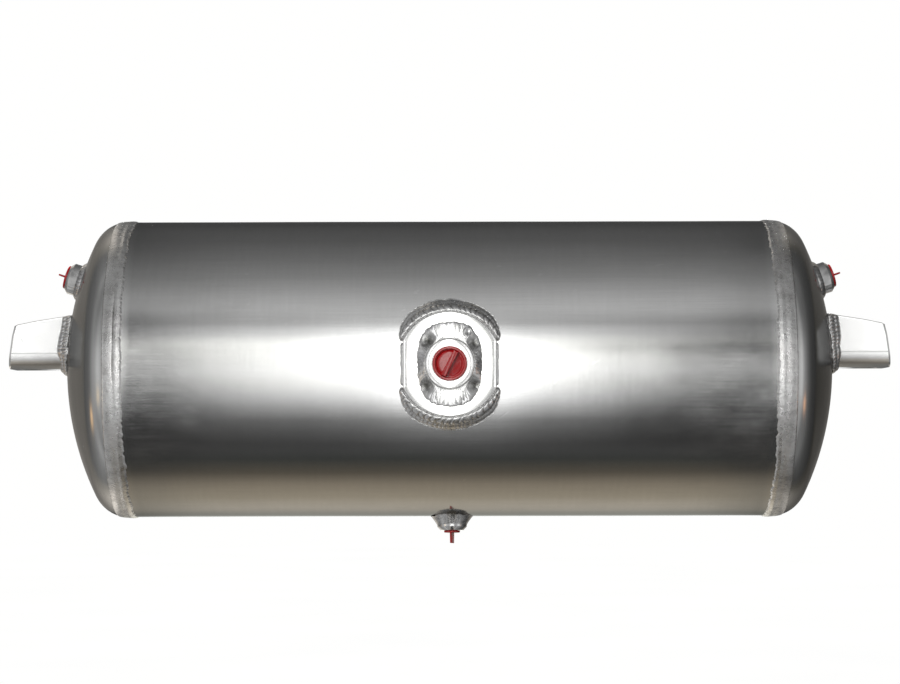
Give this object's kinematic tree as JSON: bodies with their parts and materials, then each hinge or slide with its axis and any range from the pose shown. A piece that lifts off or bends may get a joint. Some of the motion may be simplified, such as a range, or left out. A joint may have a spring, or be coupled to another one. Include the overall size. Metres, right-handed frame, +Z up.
{
  "type": "air receiver tank",
  "caption": "Horizontal welded aluminium compressed-air receiver with dished heads, end brackets, threaded ports and push-in transport plugs.",
  "frame": {"origin": "on the vessel's axis, midway between the heads, in the plane of the undersides of both end brackets", "axes": "+X along the vessel's axis, -Y towards the front port, +Z up"},
  "size_m": [0.729, 0.2667, 0.2696],
  "materials": {
    "rolled_aluminium": "brushed satin, fine grain across the sheet",
    "spun_aluminium": "spun satin, fine rings round the axis",
    "weld_metal": "as-welded, rippled, brushed clean",
    "machined_aluminium": "bright machined",
    "folded_plate": "bright mill finish",
    "red_plastic": "glossy moulded polyethylene"
  },
  "bodies": {
    "tank": {"shell": "rolled_aluminium", "long_seam_weld": "weld_metal", "front_pad": "machined_aluminium", "pad_weld_upper": "weld_metal", "pad_weld_lower": "weld_metal", "pad_weld_left": "weld_metal", "pad_weld_right": "weld_metal", "front_boss": "machined_aluminium", "front_boss_weld": "weld_metal", "drain_boss": "machined_aluminium", "drain_boss_weld": "weld_metal", "left_head": "spun_aluminium", "left_backing_ring": "rolled_aluminium", "left_seam_weld": "weld_metal", "left_boss": "machined_aluminium", "left_boss_weld": "weld_metal", "left_bracket": "folded_plate", "left_bracket_weld": "weld_metal", "right_head": "spun_aluminium", "right_backing_ring": "rolled_aluminium", "right_seam_weld": "weld_metal", "right_boss": "machined_aluminium", "right_boss_weld": "weld_metal", "right_bracket": "folded_plate", "right_bracket_weld": "weld_metal"},
    "front_plug": {"front_plug": "red_plastic"},
    "left_plug": {"left_plug": "red_plastic"},
    "right_plug": {"right_plug": "red_plastic"},
    "drain_plug": {"drain_plug": "red_plastic"}
  },
  "joints": [
    {"name": "front_plug_pull", "type": "slide", "parent": "tank", "child": "front_plug", "axis": [0, -1, 0], "range_m": [0, 0.03]},
    {"name": "left_plug_pull", "type": "slide", "parent": "tank", "child": "left_plug", "axis": [-0.9534, 0, 0.3017], "range_m": [0, 0.03]},
    {"name": "right_plug_pull", "type": "slide", "parent": "tank", "child": "right_plug", "axis": [0.9534, 0, 0.3017], "range_m": [0, 0.03]},
    {"name": "drain_plug_pull", "type": "slide", "parent": "tank", "child": "drain_plug", "axis": [0, -0.0698, -0.9976], "range_m": [0, 0.03]}
  ]
}
